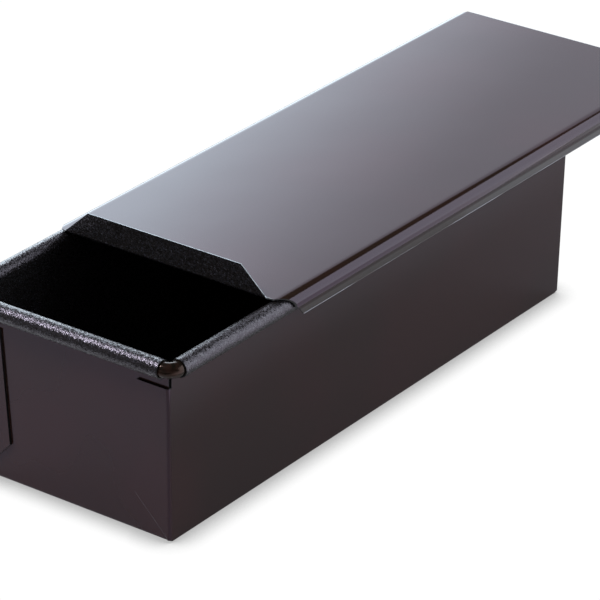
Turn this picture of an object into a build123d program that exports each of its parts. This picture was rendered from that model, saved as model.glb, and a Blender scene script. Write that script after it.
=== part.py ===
from build123d import *
from math import cos, radians, sin, sqrt, tan
import os

# Sliding-lid loaf pan, in millimetres, +Z up.
# The origin is the centre of the base's underside. +X runs along the pan to the end that the lid
# slides off, and -Y is the long side that faces the viewer. The pan is one folded steel sheet
# curled over a rim wire, and the lid is a second folded sheet. Each sheet is given as its leaves,
# which meet at the bend lines.

# Pan sheet
base_length = 280.0        # between the outer faces of the end walls, at the table
base_width = 100.0         # between the outer faces of the long walls, at the table
sheet = 0.5                # thickness of both sheets
wall_draft = 1.0           # degrees that each wall leans outward
bottom_bend = 1.2          # outside radius of the bends round the base
seam = 0.03                # gap between leaves that only lie against each other

# Rim wire and the curl of the sheet over it
wire_height = 80.0         # wire axis above the table
wire_diameter = 7.0
wire_corner_radius = 4.5   # bend of the wire's axis at each corner
curl_wrap = 285.0          # degrees of wire that the sheet covers
corner_cut = 10.0          # from the wire's axis down to where each corner is cut free of the rim

# Corner gussets, the folded corners of the sheet, turned flat onto the end walls
gusset_width = 17.7
corner_bend = 1.4          # outside radius of the upright bends
ply_gap = 0.15             # air between the two plies of a gusset

# Lid
slide_clearance = 0.8      # between the rim and the lid
rail_wrap = 117.0          # degrees that each rail turns round the rim, from the flat panel
rail_lip = 5.0             # flat lip that runs on from each rail and reaches in under the rim
snip_shoulder = 10.0       # how far each rail's end is snipped back at the rail's outer side
snip_lip = 18.2            # how far it is snipped back at the lip's edge
lid_opening = 70.7         # how far the lid is slid open here

# Tab at the near end, turned up, and the stop lip at the far end, turned down
turned_height = 11.8       # of both, from the panel's top face
turned_inset = 3.6         # from the panel's edge to the root of each
turned_flare = 11.9        # how much narrower each is at its free edge, on each side
turned_bend = 1.5          # outside radius of both bends
tab_overhang = 2.2         # with the lid closed, how far the tab stands outside the rim

# Derived sizes
lean_share = tan(radians(wall_draft))
curl_inner = wire_diameter / 2 + seam
curl_outer = curl_inner + sheet
gusset_stack = 2 * sheet + ply_gap
gusset_top = wire_height - corner_cut
wire_half_length = base_length / 2 + lean_share * wire_height + curl_inner
wire_half_width = base_width / 2 + lean_share * wire_height + curl_inner
curl_half_length = wire_half_length - wire_corner_radius
curl_half_width = wire_half_width - wire_corner_radius
rim_half_length = wire_half_length + curl_outer

rail_inner = curl_outer + slide_clearance
rail_outer = rail_inner + sheet
rail_end = radians(90 - rail_wrap)
panel_half_width = wire_half_width
panel_top = wire_height + rail_outer
lid_near = lid_opening - rim_half_length - tab_overhang
lid_far = lid_opening + rim_half_length + slide_clearance + sheet
lid_middle = (lid_near + lid_far) / 2
lid_length = lid_far - lid_near
overrun = wire_height      # spare length of the cutting bodies

UP = Vector(0, 0, 1)
ends = {"near": Vector(-1, 0, 0), "far": Vector(1, 0, 0)}
sides = {"right": Vector(0, -1, 0), "left": Vector(0, 1, 0)}


def half_width(height):
    """Of the pan's outside at a height; the walls lean outward."""
    return base_width / 2 + lean_share * height


def section_plane(outward, distance, height):
    """Upright plane across a side: local x points outward and local y up."""
    return Plane(origin=outward * distance + UP * height, x_dir=outward, z_dir=outward.cross(UP))


def leaf(outline, outward, distance, thickness):
    """Leaning leaf of sheet. The outline holds (along, height); distance is its outer face at the table."""
    across = outward.cross(UP)
    points = []
    for along, height in outline:
        points.append(outward * (distance + lean_share * height) + across * along + UP * height)
    face = make_face(Polyline(*points, close=True))
    return extrude(face, amount=thickness, dir=-outward)


def arc_strip(inner_radius, outer_radius, start, turn):
    """Curved strip of sheet seen end on."""
    inner = CenterArc((0, 0), inner_radius, start, turn)
    outer = CenterArc((0, 0), outer_radius, start, turn)
    return make_face([inner, outer, Line(inner @ 0, outer @ 0), Line(inner @ 1, outer @ 1)])


# Base, with the bends round its four edges
def base_panel():
    def shell(inset):
        """Tray-shaped block with rounded edges, smaller all round by the inset."""
        plan = RectangleRounded(base_length - 2 * inset, base_width - 2 * inset, corner_bend - inset)
        block = extrude(Pos(0, 0, inset) * plan, amount=wire_height, taper=-wall_draft)
        return fillet(block.faces().sort_by(Axis.Z)[0].edges(), bottom_bend - inset)

    keep = Pos(0, 0, bottom_bend / 2) * Box(base_length + overrun, base_width + overrun, bottom_bend)
    return (shell(0) - shell(sheet)) & keep


# Walls, from the base's bends up to the curl; the corners are cut free above the gussets
def wall(outward, distance, foot, shoulder, strip):
    low = bottom_bend + seam
    high = wire_height - seam
    half = [(foot, low), (shoulder, gusset_top), (strip, gusset_top), (strip, high)]
    other_half = [(-along, height) for along, height in reversed(half)]
    return leaf(half + other_half, outward, distance, sheet)


def long_wall(side):
    tangent = base_length / 2 + gusset_stack - corner_bend - seam
    foot = tangent + lean_share * (bottom_bend + seam)
    return wall(sides[side], base_width / 2, foot, tangent + lean_share * gusset_top, curl_half_length)


def end_wall(end):
    recess = sheet + seam
    foot = half_width(bottom_bend + seam) - recess
    return wall(ends[end], base_length / 2, foot, half_width(gusset_top) - recess, curl_half_width)


# Corner gusset: the upright bend from the long wall, then two plies joined by a fold at 45 degrees
def gusset(end, side):
    outward = ends[end]
    hand = outward.cross(UP).dot(sides[side])

    def ply(lift, spare):
        outline = [
            (half_width(corner_bend) - corner_bend + spare, corner_bend + lift - spare),
            (half_width(gusset_width) - gusset_width - spare, gusset_width + lift + spare),
            (half_width(gusset_top) - gusset_width - spare, gusset_top + spare),
            (half_width(gusset_top) - corner_bend + spare, gusset_top + spare),
        ]
        return [(hand * along, height) for along, height in outline]

    flap = leaf(ply(0, 0), outward, base_length / 2 + gusset_stack, gusset_stack - seam)
    flap -= leaf(ply(sheet * sqrt(2), sheet), outward, base_length / 2 + sheet + ply_gap, ply_gap)

    low = bottom_bend + seam
    centre_x = base_length / 2 + gusset_stack + lean_share * low - corner_bend
    centre_y = half_width(low) - corner_bend
    corner = outward * centre_x + sides[side] * centre_y + UP * low
    climb = (outward + sides[side]) * lean_share + UP
    turn = 90 if end == "far" else -90
    start = 0 if end == "far" else 180
    if side == "right":
        turn = -turn
    section = Plane(origin=corner) * arc_strip(corner_bend - sheet, corner_bend, start, turn)
    bend = extrude(section, amount=(gusset_top - low) * climb.length, dir=climb.normalized())
    return flap + bend


# Rim: the sheet curled outward over the wire, and the wire itself
def rim_curl(outward, distance, half_span):
    section = arc_strip(curl_inner, curl_outer, 180 - curl_wrap, curl_wrap)
    return extrude(section_plane(outward, distance, wire_height) * section, amount=half_span, both=True)


def rim_wire():
    loop = RectangleRounded(2 * wire_half_length, 2 * wire_half_width, wire_corner_radius)
    path = (Pos(0, 0, wire_height) * loop).face().outer_wire()
    section = Plane(origin=path @ 0, z_dir=path % 0) * Circle(wire_diameter / 2)
    return sweep(section, path=path)


# Lid: a flat panel whose long edges roll down round the rim, on the same axis as the wire
def lid_panel():
    length = lid_length - 2 * turned_bend - 2 * seam
    return Pos(lid_middle, 0, panel_top - sheet / 2) * Box(length, 2 * panel_half_width - 2 * seam, sheet)


def rail_section():
    """Seen end on, from the wire's axis: the roll round the rim and the flat lip that runs on from it."""
    roll = arc_strip(rail_inner, rail_outer, 90 - rail_wrap, rail_wrap)
    outer = Vector(cos(rail_end), sin(rail_end)) * rail_outer
    inner = Vector(cos(rail_end), sin(rail_end)) * rail_inner
    reach = Vector(sin(rail_end), -cos(rail_end)) * rail_lip
    return roll + make_face(Polyline(outer, outer + reach, inner + reach, inner, close=True))


def lid_rail(side):
    outward = sides[side]
    plane = section_plane(outward, panel_half_width, wire_height)
    half_span = lid_length / 2 - turned_bend
    rail = Pos(lid_middle, 0, 0) * extrude(plane * rail_section(), amount=half_span, both=True)
    outer_side = panel_half_width + rail_outer
    lip_edge = wire_height + rail_outer * sin(rail_end) - rail_lip * cos(rail_end)
    for end_x, inward in ((lid_near, 1), (lid_far, -1)):
        panel_end = end_x + inward * turned_bend
        shoulder_x = end_x + inward * snip_shoulder
        beyond_x = end_x - inward * overrun
        from_above = [
            (panel_end, panel_half_width), (shoulder_x, outer_side),
            (shoulder_x, outer_side + overrun), (beyond_x, outer_side + overrun),
            (beyond_x, panel_half_width),
        ]
        plan = make_face(Polyline(*[(x, outward.Y * y) for x, y in from_above], close=True))
        rail -= extrude(plan, amount=panel_top + overrun)
        from_side = [
            (shoulder_x, wire_height), (end_x + inward * snip_lip, lip_edge),
            (end_x + inward * snip_lip, lip_edge - overrun), (beyond_x, lip_edge - overrun),
            (beyond_x, wire_height),
        ]
        profile = make_face(Polyline(*[(x, 0, z) for x, z in from_side], close=True))
        rail -= extrude(profile, amount=outer_side + overrun, both=True)
    return rail


# The panel's ends, each turned through a right angle: up as the tab, down as the stop lip
def turned_end(end_x, inward, rise):
    """rise is 1 for the end that turns up and -1 for the end that turns down"""
    if rise > 0:
        bend_height = panel_top - sheet + turned_bend
    else:
        bend_height = panel_top - turned_bend
    edge_height = panel_top + rise * turned_height
    bend_x = end_x + inward * turned_bend
    start = 180 if inward > 0 else 0
    bend = arc_strip(turned_bend - sheet, turned_bend, start, 90 * rise * inward)
    bend = Plane(origin=(bend_x, 0, bend_height), x_dir=(1, 0, 0), z_dir=(0, -1, 0)) * bend
    root = panel_half_width - turned_inset
    bend = extrude(bend, amount=root, both=True)
    edge = root - turned_flare
    outline = [
        (end_x, -root, bend_height), (end_x, root, bend_height),
        (end_x, edge, edge_height), (end_x, -edge, edge_height),
    ]
    upright = make_face(Polyline(*outline, close=True))
    return bend + extrude(upright, amount=sheet, dir=(inward, 0, 0))


parts = {"base_panel": base_panel(), "rim_wire": rim_wire(), "lid_panel": lid_panel()}
for side, outward in sides.items():
    parts[f"long_wall_{side}"] = long_wall(side)
    parts[f"rim_curl_{side}"] = rim_curl(outward, wire_half_width, curl_half_length)
    parts[f"lid_rail_{side}"] = lid_rail(side)
for end, outward in ends.items():
    parts[f"end_wall_{end}"] = end_wall(end)
    parts[f"rim_curl_{end}"] = rim_curl(outward, wire_half_length, curl_half_width)
    for side in sides:
        parts[f"gusset_{end}_{side}"] = gusset(end, side)
parts["lid_tab"] = turned_end(lid_near, 1, 1)
parts["lid_stop_lip"] = turned_end(lid_far, -1, -1)

os.makedirs("parts", exist_ok=True)
for name, shape in parts.items():
    export_step(shape, f"parts/{name}.step")
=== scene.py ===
from math import cos, pi, radians, sin, sqrt

import bmesh
import bpy
from mathutils import Matrix, Vector


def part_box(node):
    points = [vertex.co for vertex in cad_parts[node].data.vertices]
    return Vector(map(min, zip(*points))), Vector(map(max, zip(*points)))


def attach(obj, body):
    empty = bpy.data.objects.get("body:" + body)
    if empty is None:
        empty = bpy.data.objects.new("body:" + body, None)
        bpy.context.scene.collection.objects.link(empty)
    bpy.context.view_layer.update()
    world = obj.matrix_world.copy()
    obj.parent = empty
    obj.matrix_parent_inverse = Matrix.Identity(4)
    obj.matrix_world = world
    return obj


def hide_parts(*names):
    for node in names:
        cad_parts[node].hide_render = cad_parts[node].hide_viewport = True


# Sliding-lid loaf pan: two folded steel sheets and a rim wire, dressed piece by piece.
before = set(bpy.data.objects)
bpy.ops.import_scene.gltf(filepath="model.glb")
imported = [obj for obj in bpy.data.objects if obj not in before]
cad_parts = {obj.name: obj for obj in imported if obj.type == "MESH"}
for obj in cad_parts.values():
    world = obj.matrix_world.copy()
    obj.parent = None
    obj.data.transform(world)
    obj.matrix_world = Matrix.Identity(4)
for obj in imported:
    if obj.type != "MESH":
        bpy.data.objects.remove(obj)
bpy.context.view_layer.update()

MM = 0.001
UP = Vector((0, 0, 1))
SIDES = {"right": Vector((0, -1, 0)), "left": Vector((0, 1, 0))}
ENDS = {"near": Vector((-1, 0, 0)), "far": Vector((1, 0, 0))}
CORNERS = ((1, 1), (-1, 1), (-1, -1), (1, -1))      # signs of X and Y, anticlockwise from above

# Sizes read from the frame
base_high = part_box("base_panel")[1]
wire_low, wire_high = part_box("rim_wire")
curl_low, curl_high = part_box("rim_curl_left")
panel_low, panel_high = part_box("lid_panel")
gusset_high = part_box("gusset_far_left")[1]
rail_low, rail_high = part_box("lid_rail_left")
wall_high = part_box("long_wall_left")[1]
tab_low, tab_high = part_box("lid_tab")
stop_low, stop_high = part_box("lid_stop_lip")

sheet = panel_high.z - panel_low.z
bottom_bend = base_high.z
lean_share = (wall_high.y - base_high.y) / (wall_high.z - base_high.z)
wire_radius = (wire_high.z - wire_low.z) / 2
wire_height = (wire_high.z + wire_low.z) / 2
wire_half_length = wire_high.x - wire_radius
wire_half_width = wire_high.y - wire_radius
curl_outer = (curl_high.z - curl_low.z) / 2
curl_half_length = curl_high.x
curl_half_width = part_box("rim_curl_near")[1].y
gusset_top = gusset_high.z
panel_top = panel_high.z
lid_near = tab_low.x
lid_far = stop_high.x
rail_outer = rail_high.y - rail_low.y
lip_edge = rail_low.z
panel_half_width = rail_low.y

# Sizes that the frame's boxes don't show
corner_bend = 1.4 * MM          # outside radius of the upright bends
wire_corner_radius = 4.5 * MM   # bend of the wire's axis at each corner
curl_wrap = radians(285)        # how far the sheet goes round the wire
rail_wrap = radians(117)        # how far each rail turns, from the panel to its flat lip
rail_lip = 5.0 * MM             # width of that lip
worn_strip = 0.20 * MM          # how far its edge has lost its coating
burr = 0.12 * MM                # how far the shears turned that strip out
wire_clearance = 0.25 * MM      # dark gap between the wire and the curl
ply_gap = 0.15 * MM             # air between the two plies of a gusset
gusset_width = 17.7 * MM
gusset_taper = 1.7 * MM         # how much narrower the outer ply is at the top
snip_shoulder = 10.0 * MM       # how far a rail's end is snipped back at the rail's outer side
snip_lip = 18.2 * MM            # how far it is snipped back at the lip's edge
turned_bend = 1.5 * MM          # outside radius of the tab's and the stop lip's bend
turned_flare = 11.9 * MM        # how much narrower each is at its free edge, on each side
root_fillet = 3.6 * MM          # where the slanted side of the tab runs out into the lid's end
flat_margin = 1.0 * MM          # of the flat panel that each rail piece carries

# How finely the curves are drawn
bend_steps = 8                  # of a folded bend
wire_corner_steps = 16
wire_spokes = 40                # round the wire
roll_steps = 56                 # of the curl and the rails
slant_steps = 12                # of the slanted sides of the tab and the stop lip
crease = radians(35)            # a bend between two faces that is sharper shows as an edge


def half_length(height):
    """Of the pan's outside at a height; the walls lean outward."""
    return base_high.x + lean_share * (height - bottom_bend)


def half_width(height):
    return base_high.y + lean_share * (height - bottom_bend)


# Colours and nodes
def linear(code):
    """sRGB hex code as linear red, green, blue and alpha."""
    channels = [int(code[place:place + 2], 16) / 255 for place in (1, 3, 5)]
    bent = [c / 12.92 if c <= 0.04045 else ((c + 0.055) / 1.055) ** 2.4 for c in channels]
    return (*bent, 1.0)


def add_node(tree, kind, settings=(), **inputs):
    """Adds a node. The settings are its properties and the inputs its socket values or links, each
    under the socket's name, or under its number after a low line where sockets share a name."""
    node = tree.nodes.new(kind)
    for key, value in dict(settings).items():
        setattr(node, key, value)
    for key, value in inputs.items():
        socket = node.inputs[int(key[1:])] if key[0] == "_" else node.inputs[key.replace("_", " ")]
        if isinstance(value, bpy.types.NodeSocket):
            tree.links.new(value, socket)
        else:
            socket.default_value = value
    return node


def new_material(name):
    material = bpy.data.materials.new(name)
    material.use_nodes = True
    material.node_tree.nodes.clear()
    return material, material.node_tree


def finish_material(tree, shader):
    add_node(tree, "ShaderNodeOutputMaterial", Surface=shader)


# Enamelled outside: a silicone enamel sprayed on the sheet and baked before it was folded.
# The baked skin is nearly black with a brown cast, and mirrors the studio with a faint violet tint.
def baked_enamel():
    material, tree = new_material("baked_enamel")
    place = add_node(tree, "ShaderNodeTexCoord").outputs["Object"]
    dent_spacing = 45 * MM       # long, shallow waves that folding leaves in thin sheet
    dent_depth = 0.15 * MM
    dents = add_node(tree, "ShaderNodeTexNoise", Vector=place, Scale=1 / dent_spacing, Detail=1.0)
    dent_bump = add_node(
        tree, "ShaderNodeBump", Strength=0.3, Distance=dent_depth, Height=dents.outputs["Fac"],
    )
    peel_spacing = 2.2 * MM      # orange peel of sprayed enamel
    peel_depth = 0.015 * MM
    peel = add_node(tree, "ShaderNodeTexNoise", Vector=place, Scale=1 / peel_spacing, Detail=2.0)
    peel_bump = add_node(
        tree, "ShaderNodeBump", Strength=0.1, Distance=peel_depth,
        Height=peel.outputs["Fac"], Normal=dent_bump.outputs["Normal"],
    )
    cloud_spacing = 70 * MM      # where the oven browned it more
    clouds = add_node(tree, "ShaderNodeTexNoise", Vector=place, Scale=1 / cloud_spacing, Detail=2.0)
    browning = add_node(
        tree, "ShaderNodeMapRange", Value=clouds.outputs["Fac"], From_Min=0.4, From_Max=0.6,
    )
    colour = add_node(
        tree, "ShaderNodeMix", {"data_type": "RGBA"}, _0=browning.outputs["Result"],
        _6=linear("#251a15"), _7=linear("#2a1a16"),
    )
    shader = add_node(
        tree, "ShaderNodeBsdfPrincipled", Base_Color=colour.outputs[2], Roughness=0.1, IOR=1.4,
        Specular_Tint=linear("#f4dbff"), Normal=peel_bump.outputs["Normal"],
    )
    finish_material(tree, shader.outputs["BSDF"])
    return material


# Non-stick inside: fluoropolymer sprayed thick with mineral grains, so it is black, rough and glitters.
def grained_nonstick():
    material, tree = new_material("grained_nonstick")
    place = add_node(tree, "ShaderNodeTexCoord").outputs["Object"]
    grain_spacing = 0.46 * MM    # the real grains are finer; drawn coarse enough to glitter
    grain_height = 0.055 * MM
    lean = 0.18                  # how far a grain's facet may lean, against an upright of 1
    grains = add_node(tree, "ShaderNodeTexVoronoi", Vector=place, Scale=1 / grain_spacing)
    grain_bump = add_node(
        tree, "ShaderNodeBump", {"invert": True}, Strength=1.0, Distance=grain_height,
        Height=grains.outputs["Distance"],
    )
    facet_leans = add_node(      # each grain is a facet that leans its own way
        tree, "ShaderNodeVectorMath", {"operation": "MULTIPLY_ADD"}, _0=grains.outputs["Color"],
        _1=(2 * lean, 2 * lean, 2 * lean), _2=(-lean, -lean, -lean),
    )
    leaned = add_node(
        tree, "ShaderNodeVectorMath", {"operation": "ADD"},
        _0=grain_bump.outputs["Normal"], _1=facet_leans.outputs[0],
    )
    facets = add_node(tree, "ShaderNodeVectorMath", {"operation": "NORMALIZE"}, _0=leaned.outputs[0])
    pale_grain = add_node(
        tree, "ShaderNodeMapRange", Value=grains.outputs["Color"], From_Min=0.64, From_Max=0.96,
    )
    colour = add_node(
        tree, "ShaderNodeMix", {"data_type": "RGBA"}, _0=pale_grain.outputs["Result"],
        _6=linear("#161413"), _7=linear("#34343a"),
    )
    dullness = add_node(         # some grains are polished and some are dull
        tree, "ShaderNodeMapRange", Value=grains.outputs["Color"], From_Min=0.25, From_Max=0.75,
        To_Min=0.36, To_Max=0.15,
    )
    shader = add_node(
        tree, "ShaderNodeBsdfPrincipled", Base_Color=colour.outputs[2],
        Roughness=dullness.outputs["Result"], IOR=1.51, Specular_Tint=linear("#fbecff"),
        Normal=facets.outputs[0],
    )
    finish_material(tree, shader.outputs["BSDF"])
    return material


# Cut edges: near black and dull, as painted shade of the dark gaps at the plies, wire and lid's edge.
def painted_shade_edge():
    material, tree = new_material("painted_shade_edge")
    place = add_node(tree, "ShaderNodeTexCoord").outputs["Object"]
    mottle_spacing = 3 * MM
    mottle = add_node(tree, "ShaderNodeTexNoise", Vector=place, Scale=1 / mottle_spacing, Detail=1.0)
    # painted shade: near black for the dark gaps at the cut edges, mottled at random
    colour = add_node(
        tree, "ShaderNodeMix", {"data_type": "RGBA"}, _0=mottle.outputs["Fac"],
        _6=linear("#080504"), _7=linear("#0f0b0a"),
    )
    dullness = add_node(
        tree, "ShaderNodeMapRange", Value=mottle.outputs["Fac"], To_Min=0.45, To_Max=0.75,
    )
    shader = add_node(
        tree, "ShaderNodeBsdfPrincipled", Base_Color=colour.outputs[2],
        Roughness=dullness.outputs["Result"], IOR=1.4,
    )
    finish_material(tree, shader.outputs["BSDF"])
    return material


# Cut edges of the turned ends: rubbed to bare aluminised steel by every pull, so they are bright.
def sheared_steel():
    material, tree = new_material("sheared_steel")
    place = add_node(tree, "ShaderNodeTexCoord").outputs["Object"]
    rub_length = 4 * MM          # stretches that are rubbed more and less
    rubs = add_node(tree, "ShaderNodeTexNoise", Vector=place, Scale=1 / rub_length, Detail=2.0)
    colour = add_node(
        tree, "ShaderNodeMix", {"data_type": "RGBA"}, _0=rubs.outputs["Fac"],
        _6=linear("#717377"), _7=linear("#979a9f"),
    )
    dullness = add_node(
        tree, "ShaderNodeMapRange", Value=rubs.outputs["Fac"], To_Min=0.5, To_Max=0.3,
    )
    shader = add_node(
        tree, "ShaderNodeBsdfPrincipled", Base_Color=colour.outputs[2], Metallic=1.0,
        Roughness=dullness.outputs["Result"],
    )
    finish_material(tree, shader.outputs["BSDF"])
    return material


# Lip edges of the rails: coated over when sprayed, then rubbed through, so bare steel shows in places.
def rubbed_edge():
    material, tree = new_material("rubbed_edge")
    place = add_node(tree, "ShaderNodeTexCoord").outputs["Object"]
    patch_length = 35 * MM
    patches = add_node(tree, "ShaderNodeTexNoise", Vector=place, Scale=1 / patch_length, Detail=1.0)
    bare = add_node(
        tree, "ShaderNodeMapRange", Value=patches.outputs["Fac"], From_Min=0.42, From_Max=0.6,
    )
    colour = add_node(
        tree, "ShaderNodeMix", {"data_type": "RGBA"}, _0=bare.outputs["Result"],
        _6=linear("#20170f"), _7=linear("#85878c"),
    )
    shader = add_node(
        tree, "ShaderNodeBsdfPrincipled", Base_Color=colour.outputs[2],
        Metallic=bare.outputs["Result"], Roughness=0.4,
    )
    finish_material(tree, shader.outputs["BSDF"])
    return material


# Rim wire: drawn steel wire with a smooth skin of oxide and enamel, brown and nearly black.
def browned_wire():
    material, tree = new_material("browned_wire")
    place = add_node(tree, "ShaderNodeTexCoord").outputs["Object"]
    scale_spacing = 2.5 * MM     # patches of oxide, redder where it is thicker
    scale = add_node(tree, "ShaderNodeTexNoise", Vector=place, Scale=1 / scale_spacing, Detail=2.0)
    oxide = add_node(
        tree, "ShaderNodeMapRange", Value=scale.outputs["Fac"], From_Min=0.35, From_Max=0.65,
    )
    colour = add_node(
        tree, "ShaderNodeMix", {"data_type": "RGBA"}, _0=oxide.outputs["Result"],
        _6=linear("#14110d"), _7=linear("#231611"),
    )
    dullness = add_node(
        tree, "ShaderNodeMapRange", Value=oxide.outputs["Result"], To_Min=0.16, To_Max=0.26,
    )
    shader = add_node(
        tree, "ShaderNodeBsdfPrincipled", Base_Color=colour.outputs[2],
        Roughness=dullness.outputs["Result"], IOR=1.4, Specular_Tint=linear("#e8bfb0"),
    )
    finish_material(tree, shader.outputs["BSDF"])
    return material


ENAMEL = baked_enamel()
# Cut edges, near black: painted shade of the gaps between plies, round the wire and under the lid.
PAINTED_SHADE_EDGE = painted_shade_edge()
NONSTICK = grained_nonstick()
STEEL = sheared_steel()
RUBBED = rubbed_edge()
WIRE = browned_wire()


# Stock: every function here returns (points, faces, slots), with slot 0 for the front, 1 for the
# back, 2 for the cut edges and 3 for a shell's cut ends
def shell(front, back, closed=False):
    """Sheet between two grids of points; each row of a closed grid runs round in a loop."""
    rows, columns = len(front), len(front[0])
    points = [p for row in front for p in row] + [p for row in back for p in row]
    shift = rows * columns
    faces, slots = [], []
    steps = columns if closed else columns - 1
    for i in range(rows - 1):
        for j in range(steps):
            k = (j + 1) % columns
            quad = (i * columns + j, i * columns + k, (i + 1) * columns + k, (i + 1) * columns + j)
            faces += [quad, tuple(shift + corner for corner in reversed(quad))]
            slots += [0, 1]
    border = []
    for j in range(steps):
        k = (j + 1) % columns
        border += [(j, k, 2), ((rows - 1) * columns + k, (rows - 1) * columns + j, 2)]
    if not closed:
        for i in range(rows - 1):
            first, last = i * columns, (i + 1) * columns - 1
            border += [(first + columns, first, 3), (last, last + columns, 3)]
    for a, b, slot in border:
        faces.append((b, a, a + shift, b + shift))
        slots.append(slot)
    return points, faces, slots


def plate(outline, inward):
    """Flat sheet with an outline of points on its front face and a thickness vector."""
    count = len(outline)
    points = list(outline) + [p + inward for p in outline]
    faces = [tuple(range(count)), tuple(reversed(range(count, 2 * count)))]
    slots = [0, 1]
    for i in range(count):
        k = (i + 1) % count
        faces.append((k, i, i + count, k + count))
        slots.append(2)
    return points, faces, slots


def join(*parts):
    points, faces, slots = [], [], []
    for part_points, part_faces, part_slots in parts:
        shift = len(points)
        points += part_points
        faces += [tuple(shift + corner for corner in face) for face in part_faces]
        slots += part_slots
    return points, faces, slots


def put(node, body, stock, front, back, edge=PAINTED_SHADE_EDGE, end=PAINTED_SHADE_EDGE):
    """Makes the piece that stands for a CAD node."""
    points, faces, slots = stock
    mesh = bpy.data.meshes.new(node + "_skin")
    mesh.from_pydata(points, [], faces)
    for material in (front, back, edge, end):
        mesh.materials.append(material)
    mesh.polygons.foreach_set("material_index", slots)
    bm = bmesh.new()
    bm.from_mesh(mesh)
    bmesh.ops.recalc_face_normals(bm, faces=bm.faces)
    bm.to_mesh(mesh)
    bm.free()
    mesh.shade_smooth()
    mesh.set_sharp_from_angle(angle=crease)
    piece = bpy.data.objects.new(node + "_skin", mesh)
    bpy.context.scene.collection.objects.link(piece)
    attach(piece, body)
    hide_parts(node)
    return piece


# Base, with the bends round its four edges
def loop(inset, height, radius):
    """Rounded rectangle inside the pan's outline."""
    x = half_length(height) - inset - radius
    y = half_width(height) - inset - radius
    points = []
    for quarter, (sx, sy) in enumerate(CORNERS):
        for step in range(bend_steps + 1):
            turn = (quarter + step / bend_steps) * pi / 2
            points.append(Vector((sx * x + radius * cos(turn), sy * y + radius * sin(turn), height)))
    return points


def base_stock():
    """The bends are a ring of shell, whose inner border the flat floor closes on both faces."""
    inner_bend = bottom_bend - sheet
    outside, inside = [], []
    for step in range(bend_steps + 1):
        turn = step / bend_steps * pi / 2
        inset = bottom_bend * (1 - sin(turn))
        outside.append(loop(inset, bottom_bend * (1 - cos(turn)), corner_bend - inset))
        inset = sheet + inner_bend * (1 - sin(turn))
        inside.append(loop(inset, sheet + inner_bend * (1 - cos(turn)), corner_bend - inset))
    points, faces, slots = shell(outside, inside, closed=True)
    count = len(outside[0])
    kept = [(face, slot) for face, slot in zip(faces, slots) if slot != 2 or min(face) >= count]
    ring = (points, [face for face, slot in kept], [slot for face, slot in kept])
    floor_under = (outside[0], [tuple(range(count))], [0])
    floor_over = (inside[0], [tuple(range(count))], [1])
    return join(ring, floor_under, floor_over)


put("base_panel", "pan", base_stock(), ENAMEL, NONSTICK)


# Walls: each is narrower above the gussets, where the corners are cut free
def wall_stock(outward, reach, foot, shoulder, strip):
    """reach(height) is how far the wall's outside stands from the middle."""
    across = outward.cross(UP)
    half = [(foot, bottom_bend), (shoulder, gusset_top), (strip, gusset_top), (strip, wire_height)]
    outline = half + [(-along, height) for along, height in reversed(half)]
    points = [outward * reach(height) + across * along + UP * height for along, height in outline]
    return plate(points, -outward * sheet)


stack = gusset_high.x - half_length(gusset_top)     # how far a gusset stands out from the end wall
bend_start = stack - corner_bend
for side, outward in SIDES.items():
    foot = half_length(bottom_bend) + bend_start
    shoulder = half_length(gusset_top) + bend_start
    stock = wall_stock(outward, half_width, foot, shoulder, curl_half_length)
    put(f"long_wall_{side}", "pan", stock, ENAMEL, NONSTICK)
for end, outward in ENDS.items():
    foot = half_width(bottom_bend) - sheet
    shoulder = half_width(gusset_top) - sheet
    stock = wall_stock(outward, half_length, foot, shoulder, curl_half_width)
    put(f"end_wall_{end}", "pan", stock, ENAMEL, NONSTICK)


# Gussets: an upright bend from the long wall, an outer ply, a fold at 45 degrees and an inner ply
def gusset_stock(outward, sideways):
    def spot(along, height, depth):
        """Point on a gusset; depth is measured inward from its outer face."""
        return outward * (half_length(height) + stack - depth) + sideways * along + UP * height

    fold_radius = stack / 2
    lift = fold_radius * sqrt(2)
    outline = [
        (half_width(corner_bend) - corner_bend, corner_bend + lift),
        (half_width(gusset_width) - gusset_width, gusset_width + lift),
        (half_width(gusset_top) - gusset_width + gusset_taper, gusset_top),
        (half_width(gusset_top) - corner_bend, gusset_top),
    ]
    outer = plate([spot(along, height, 0) for along, height in outline], -outward * sheet)
    inner_depth = sheet + ply_gap
    inner_face = [spot(along, height, stack) for along, height in outline]
    inner = plate(inner_face, outward * (stack - inner_depth))

    fold_front, fold_back = [], []
    for step in range(bend_steps + 1):
        turn = step / bend_steps * pi
        for rows, radius in ((fold_front, fold_radius), (fold_back, ply_gap / 2)):
            depth = fold_radius - radius * cos(turn)
            drop = radius * sin(turn) / sqrt(2)
            rows.append([spot(along - drop, height - drop, depth) for along, height in outline[:2]])
    fold = shell(fold_front, fold_back)

    bend_front, bend_back = [], []
    for step in range(bend_steps + 1):
        turn = step / bend_steps * pi / 2
        for rows, radius in ((bend_front, corner_bend), (bend_back, corner_bend - sheet)):
            row = []
            for height in (bottom_bend, gusset_top):
                centre_x = half_length(height) + stack - corner_bend
                centre_y = half_width(height) - corner_bend
                x = centre_x + radius * cos(turn)
                y = centre_y + radius * sin(turn)
                row.append(outward * x + sideways * y + UP * height)
            rows.append(row)
    bend = shell(bend_front, bend_back)
    return join(outer, inner, fold, bend)


for end, outward in ENDS.items():
    for side, sideways in SIDES.items():
        put(f"gusset_{end}_{side}", "pan", gusset_stock(outward, sideways), ENAMEL, NONSTICK)


# Rim: the sheet curled outward over the wire, so that its grained inside shows
def rolled(outward, distance, height, radius, turn, half_span):
    """Row of points on a roll that runs along a side; turn 0 points outward and 90 degrees up."""
    across = outward.cross(UP)
    middle = outward * (distance + radius * cos(turn)) + UP * (height + radius * sin(turn))
    return [middle - across * half_span, middle + across * half_span]


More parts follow.
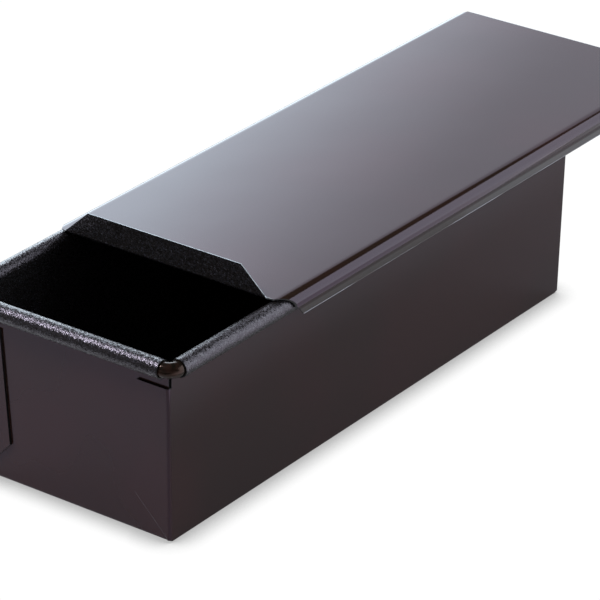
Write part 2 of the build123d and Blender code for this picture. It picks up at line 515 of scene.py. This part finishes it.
def curl_stock(outward, distance, half_span):
    front, back = [], []
    for step in range(roll_steps + 1):
        turn = pi - curl_wrap * step / roll_steps
        front.append(rolled(outward, distance, wire_height, curl_outer, turn, half_span))
        back.append(rolled(outward, distance, wire_height, curl_outer - sheet, turn, half_span))
    return shell(front, back)


for side, outward in SIDES.items():
    stock = curl_stock(outward, wire_half_width, curl_half_length)
    put(f"rim_curl_{side}", "pan", stock, NONSTICK, ENAMEL)
for end, outward in ENDS.items():
    stock = curl_stock(outward, wire_half_length, curl_half_width)
    put(f"rim_curl_{end}", "pan", stock, NONSTICK, ENAMEL)


# Rim wire: one closed loop
def wire_stock():
    rings = []
    for quarter, (sx, sy) in enumerate(CORNERS):
        x = sx * (wire_half_length - wire_corner_radius)
        y = sy * (wire_half_width - wire_corner_radius)
        for step in range(wire_corner_steps + 1):
            turn = (quarter + step / wire_corner_steps) * pi / 2
            out = Vector((cos(turn), sin(turn), 0))
            rings.append((Vector((x, y, wire_height)) + out * wire_corner_radius, out))
    points, faces = [], []
    for centre, out in rings:
        for spoke in range(wire_spokes):
            turn = spoke / wire_spokes * 2 * pi
            spread = out * cos(turn) + UP * sin(turn)
            points.append(centre + spread * (wire_radius - wire_clearance))
    for i in range(len(rings)):
        ring, next_ring = i * wire_spokes, (i + 1) % len(rings) * wire_spokes
        for j in range(wire_spokes):
            k = (j + 1) % wire_spokes
            faces.append((ring + j, next_ring + j, next_ring + k, ring + k))
    return points, faces, [0] * len(faces)


put("rim_wire", "pan", wire_stock(), WIRE, WIRE)


# Lid panel
def panel_stock():
    half_span = panel_half_width - flat_margin
    near, far = lid_near + turned_bend, lid_far - turned_bend
    outline = [
        Vector((x, y, panel_top))
        for x, y in ((near, -half_span), (far, -half_span), (far, half_span), (near, half_span))
    ]
    return plate(outline, -UP * sheet)


put("lid_panel", "lid", panel_stock(), ENAMEL, NONSTICK)


# Lid rails: the long edges rolled down round the rim, with a flat lip and their ends snipped back
def snip(reach, height):
    """How far a rail's end is cut back at a place this far out from the panel's edge."""
    if height < wire_height:
        drop_share = (wire_height - height) / (wire_height - lip_edge)
        return snip_shoulder + (snip_lip - snip_shoulder) * drop_share
    return turned_bend + (snip_shoulder - turned_bend) * reach / rail_outer


def rail_stock(outward):
    lip_shares = (0.02, 0.5, 1 - worn_strip / rail_lip, 1.0)     # of the lip's width, down to its edge
    front, back = [], []
    for rows, radius in ((front, rail_outer), (back, rail_outer - sheet)):
        profile = [(-flat_margin, radius)]
        for step in range(roll_steps + 1):
            turn = rail_wrap * step / roll_steps
            profile.append((radius * sin(turn), radius * cos(turn)))
        for share in lip_shares:
            reach = radius * sin(rail_wrap) + rail_lip * share * cos(rail_wrap)
            turned_out = burr if share == 1.0 else 0
            rise = radius * cos(rail_wrap) - rail_lip * share * sin(rail_wrap)
            profile.append((reach + turned_out, rise))
        for reach, rise in profile:
            cut = snip(max(reach, 0), wire_height + rise)
            y = outward.y * (panel_half_width + reach)
            rows.append([Vector((lid_near + cut, y, wire_height + rise)),
                         Vector((lid_far - cut, y, wire_height + rise))])
    points, faces, slots = shell(front, back)
    slots[2 * (len(front) - 2)] = 2       # the worn strip is a part of the lip's edge
    return points, faces, slots


for side, outward in SIDES.items():
    stock = rail_stock(outward)
    put(f"lid_rail_{side}", "lid", stock, ENAMEL, NONSTICK, edge=RUBBED)


# Tab and stop lip: the panel's ends, turned up and turned down
def turned_stock(end_x, inward, rise, root, edge_height):
    """rise is 1 for the end that turns up and -1 for the end that turns down; root is its half
    width at the bend."""
    outer, inner = turned_bend, turned_bend - sheet
    bend_x = end_x + inward * turned_bend
    bend_height = panel_top - sheet + turned_bend if rise > 0 else panel_top - turned_bend
    top_radius, under_radius = (inner, outer) if rise > 0 else (outer, inner)
    slope = turned_flare / abs(edge_height - bend_height)
    stations = [(turned_bend * pi / 2 * step / bend_steps, step / bend_steps * pi / 2, 0.0)
                for step in range(bend_steps + 1)]
    for step in range(1, slant_steps + 1):
        climb = abs(edge_height - bend_height) * (step / slant_steps) ** 2
        stations.append((turned_bend * pi / 2 + climb, pi / 2, climb))
    front, back = [], []
    for along, turn, climb in stations:
        half_span = root - slope * climb
        if along < root_fillet:
            half_span += root_fillet - sqrt(root_fillet ** 2 - (root_fillet - along) ** 2)
        for rows, radius in ((front, top_radius), (back, under_radius)):
            x = bend_x - inward * radius * sin(turn)
            height = bend_height - rise * radius * cos(turn) + rise * climb
            rows.append([Vector((x, -half_span, height)), Vector((x, half_span, height))])
    return shell(front, back)


tab = turned_stock(lid_near, 1, 1, tab_high.y, tab_high.z)
put("lid_tab", "lid", tab, ENAMEL, NONSTICK, edge=STEEL, end=STEEL)
stop = turned_stock(lid_far, -1, -1, stop_high.y, stop_low.z)
put("lid_stop_lip", "lid", stop, ENAMEL, NONSTICK, edge=STEEL, end=STEEL)


# Camera, placed as the photograph was taken
camera_azimuth = radians(36.465)    # of the line of sight, from +X towards +Y
camera_pitch = radians(26.464)      # looking down
camera_roll = radians(-0.17)
camera_place = Vector((-1146.5, -856.7, 749.7)) * MM
focal_px = 3743.8
photo_px = 600
sensor_mm = 36


def add_camera():
    level = cos(camera_pitch)
    ahead = Vector((cos(camera_azimuth) * level, sin(camera_azimuth) * level, -sin(camera_pitch)))
    level_right = Vector((sin(camera_azimuth), -cos(camera_azimuth), 0))
    level_down = ahead.cross(level_right)
    right = level_right * cos(camera_roll) + level_down * sin(camera_roll)
    down = level_down * cos(camera_roll) - level_right * sin(camera_roll)
    data = bpy.data.cameras.new("photo_camera")
    data.sensor_width = sensor_mm
    data.lens = sensor_mm * focal_px / photo_px
    camera = bpy.data.objects.new("photo_camera", data)
    turn = Matrix((right, -down, -ahead)).transposed()
    camera.matrix_world = Matrix.Translation(camera_place) @ turn.to_4x4()
    bpy.context.scene.collection.objects.link(camera)
    bpy.context.scene.camera = camera
    return ahead


sight = add_camera()


# Studio: a white table, tall light tents behind the pan and on its right, a lamp high on its left, a
# black card on the table at the near end, a white one on the right, and a dark room round them all.
# The camera sees the table only. The tents and the lamp light the pan, the rest shows in its gloss.
def hide(thing):
    thing.visible_camera = False
    thing.visible_shadow = False
    bpy.context.scene.collection.objects.link(thing)


def rectangle(name, low, high, height, material):
    """Flat rectangle between two corners, across its own X and Y at a height on its own Z."""
    (x_low, y_low), (x_high, y_high) = low, high
    corners = [(x_low, y_low), (x_high, y_low), (x_high, y_high), (x_low, y_high)]
    mesh = bpy.data.meshes.new(name)
    mesh.from_pydata([(x, y, height) for x, y in corners], [], [(0, 1, 2, 3)])
    mesh.materials.append(material)
    return bpy.data.objects.new(name, mesh)


def hidden_card(name, place, aim, low, high, material):
    """Card that faces its aim. Its corners are measured from its place, rightward and upward."""
    away = (place - aim).normalized()
    right = away.cross(UP).normalized()
    up = right.cross(away)
    card = rectangle(name, low, high, 0, material)
    turn = Matrix((right, up, -away)).transposed()
    card.matrix_world = Matrix.Translation(place) @ turn.to_4x4()
    hide(card)


def table_card(name, low, high, material):
    """Card flat on the table between two corners; only reflections see it."""
    card = rectangle(name, low, high, 1 * MM, material)
    card.visible_diffuse = False
    hide(card)


def heading(azimuth, elevation):
    azimuth, elevation = radians(azimuth), radians(elevation)
    return Vector((cos(azimuth) * cos(elevation), sin(azimuth) * cos(elevation), sin(elevation)))


def glow(name, strength, colour):
    material, tree = new_material(name)
    shader = add_node(tree, "ShaderNodeEmission", Color=linear(colour), Strength=strength)
    finish_material(tree, shader.outputs[0])
    return material


def graded_glow():
    """Cloth lit from low on its left, so that it fades rightward and upward."""
    material, tree = new_material("graded_tent")
    fade = radians(42.5)         # direction in which the light fades, up from rightward
    fade_rate = 7.5              # per metre
    centre_level = 1.74
    dimmest = 1.3
    brightest = 5.0
    place = add_node(tree, "ShaderNodeTexCoord").outputs["Object"]
    across = add_node(
        tree, "ShaderNodeVectorMath", {"operation": "DOT_PRODUCT"}, _0=place,
        _1=(-fade_rate * cos(fade), -fade_rate * sin(fade), 0),
    )
    rise = add_node(tree, "ShaderNodeMath", {"operation": "EXPONENT"}, _0=across.outputs["Value"])
    level = add_node(
        tree, "ShaderNodeMath", {"operation": "MULTIPLY"}, _0=rise.outputs[0], _1=centre_level,
    )
    level = add_node(
        tree, "ShaderNodeMath", {"operation": "MAXIMUM"}, _0=level.outputs[0], _1=dimmest,
    )
    level = add_node(
        tree, "ShaderNodeMath", {"operation": "MINIMUM"}, _0=level.outputs[0], _1=brightest,
    )
    coolness = add_node(         # the brighter the cloth, the cooler its white
        tree, "ShaderNodeMapRange", Value=level.outputs[0], From_Min=1.5, From_Max=4.4,
    )
    colour = add_node(
        tree, "ShaderNodeMix", {"data_type": "RGBA"}, _0=coolness.outputs["Result"],
        _6=linear("#eef2ff"), _7=linear("#e6f6ff"),
    )
    shader = add_node(tree, "ShaderNodeEmission", Color=colour.outputs[2], Strength=level.outputs[0])
    finish_material(tree, shader.outputs[0])
    return material


def white_floor():
    """White paper. The camera sees it clear white, with the shade close to the pan."""
    material, tree = new_material("white_floor")
    shade_reach = 14 * MM
    darkest_shade = 0.5
    clear_white = 1.03
    mirror_lift = 0.08           # how much lighter the paper is in reflections
    contact = add_node(tree, "ShaderNodeAmbientOcclusion", {"samples": 8}, Distance=shade_reach)
    level = add_node(
        tree, "ShaderNodeMapRange", Value=contact.outputs["AO"], From_Min=0.5, From_Max=0.95,
        To_Min=darkest_shade, To_Max=clear_white,
    )
    white = add_node(tree, "ShaderNodeEmission", Color=(1, 1, 1, 1), Strength=level.outputs[0])
    paths = add_node(tree, "ShaderNodeLightPath")
    paper = add_node(tree, "ShaderNodeBsdfDiffuse", Color=linear("#bababa"))
    mirrored = add_node(
        tree, "ShaderNodeMath", {"operation": "MAXIMUM"},
        _0=paths.outputs["Is Glossy Ray"], _1=paths.outputs["Is Transmission Ray"],
    )
    lift = add_node(
        tree, "ShaderNodeMapRange", Value=mirrored.outputs[0], To_Min=0.0, To_Max=mirror_lift,
    )
    lift = add_node(tree, "ShaderNodeEmission", Color=(1, 1, 1, 1), Strength=lift.outputs[0])
    paper = add_node(tree, "ShaderNodeAddShader", _0=paper.outputs[0], _1=lift.outputs[0])
    shader = add_node(
        tree, "ShaderNodeMixShader", _0=paths.outputs["Is Camera Ray"],
        _1=paper.outputs[0], _2=white.outputs[0],
    )
    finish_material(tree, shader.outputs[0])
    reach = 4.0
    floor = rectangle("floor", (-reach, -reach), (reach, reach), 0, material)
    bpy.context.scene.collection.objects.link(floor)


def white_surround():
    """White for the camera and for reflections that miss the dark room; dim light for the rest."""
    room_light = 0.3
    world = bpy.data.worlds.new("surround")
    world.use_nodes = True
    tree = world.node_tree
    tree.nodes.clear()
    paths = add_node(tree, "ShaderNodeLightPath")
    seen = add_node(
        tree, "ShaderNodeMath", {"operation": "MAXIMUM"},
        _0=paths.outputs["Is Camera Ray"], _1=paths.outputs["Is Glossy Ray"],
    )
    seen = add_node(
        tree, "ShaderNodeMath", {"operation": "MAXIMUM"},
        _0=seen.outputs[0], _1=paths.outputs["Is Transmission Ray"],
    )
    level = add_node(
        tree, "ShaderNodeMapRange", Value=seen.outputs[0], To_Min=room_light, To_Max=1.0,
    )
    light = add_node(tree, "ShaderNodeBackground", Color=(1, 1, 1, 1), Strength=level.outputs[0])
    add_node(tree, "ShaderNodeOutputWorld", Surface=light.outputs[0])
    bpy.context.scene.world = world


def black_surround():
    """Dark room round the tents, from a little above the table; only reflections see it."""
    radius = 2.6
    lowest_part = radius * sin(radians(6))
    mesh = bpy.data.meshes.new("black_surround")
    bm = bmesh.new()
    bmesh.ops.create_uvsphere(bm, u_segments=48, v_segments=60, radius=radius)
    low_faces = [face for face in bm.faces if face.calc_center_median().z < lowest_part]
    bmesh.ops.delete(bm, geom=low_faces, context="FACES")
    bm.to_mesh(mesh)
    bm.free()
    mesh.materials.append(glow("black_cloth", 0.0, "#000000"))
    dome = bpy.data.objects.new("black_surround", mesh)
    dome.visible_diffuse = False
    hide(dome)


white_floor()
white_surround()
black_surround()

# The cards on the table meet at near_edge and keep clear of the pan's own shade
near_edge = -0.26
black_card = glow("black_card", 0.0, "#000000")
table_card("near_flag", (-2.4, -2.4), (near_edge, 2.4), black_card)
white_card = glow("white_card", 2.0, "#f3f5ff")
table_card("right_bounce", (near_edge, -1.6), (2.4, -0.16), white_card)

lid_middle = Vector((67 * MM, 0, panel_top))
mirrored_sight = Vector((sight.x, sight.y, -sight.z))     # as the lid's flat top sends it on
back_distance = 1.5
side_distance = 1.6
back_place = lid_middle + mirrored_sight * back_distance
hidden_card("back_tent", back_place, lid_middle, (-1.4, -1.1), (1.4, 0.45), graded_glow())
right_place = lid_middle + heading(-50, 0) * side_distance
right_tent = glow("right_tent", 3.1, "#ecf5fb")
hidden_card("right_tent", right_place, lid_middle, (-1.34, -0.08), (1.34, 1.43), right_tent)
lamp_place = lid_middle + heading(132, 46) * side_distance
lamp_half = 0.225
left_lamp = glow("left_lamp", 45.0, "#f4f8ff")
lamp_low, lamp_high = (-lamp_half, -lamp_half), (lamp_half, lamp_half)
hidden_card("left_lamp", lamp_place, lid_middle, lamp_low, lamp_high, left_lamp)
bpy.context.scene.view_settings.view_transform = "Standard"
